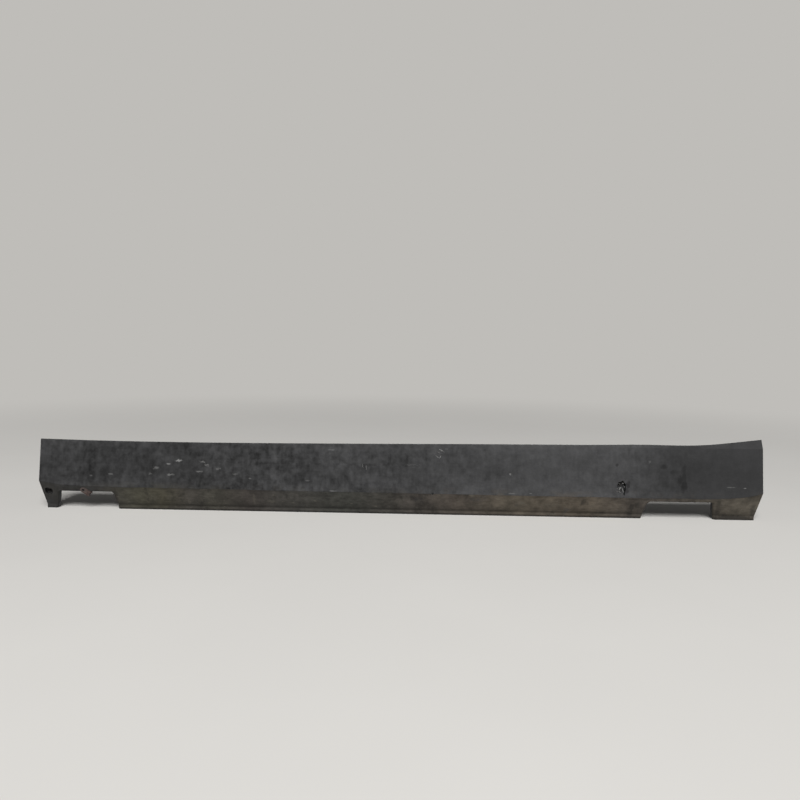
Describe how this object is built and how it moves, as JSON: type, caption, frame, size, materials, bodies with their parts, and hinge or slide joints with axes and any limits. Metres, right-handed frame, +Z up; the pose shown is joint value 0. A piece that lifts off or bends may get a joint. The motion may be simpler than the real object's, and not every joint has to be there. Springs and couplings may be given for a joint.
{
  "type": "side skirt",
  "caption": "Long unpainted plastic car side skirt with a leaning face, a return wall notched for jacking and an open back that clips over a sill.",
  "frame": {"origin": "middle of the footprint, on the surface that the skirt stands on", "axes": "+X along the skirt towards its raised tail, +Y inwards to the car, +Z up"},
  "size_m": [1.709, 0.1019, 0.1931],
  "materials": {
    "skirt_plastic": "worn dark grey grained plastic, muddy below",
    "nut_steel": "rusty spring steel",
    "clip_nylon": "aged white nylon"
  },
  "bodies": {
    "root": {"skirt_moulding": "skirt_plastic", "speed_nut": "nut_steel", "retaining_clip_1": "clip_nylon", "retaining_clip_2": "clip_nylon", "retaining_clip_3": "clip_nylon", "retaining_clip_4": "clip_nylon", "retaining_clip_5": "clip_nylon", "retaining_clip_6": "clip_nylon", "retaining_clip_7": "clip_nylon"}
  },
  "joints": []
}
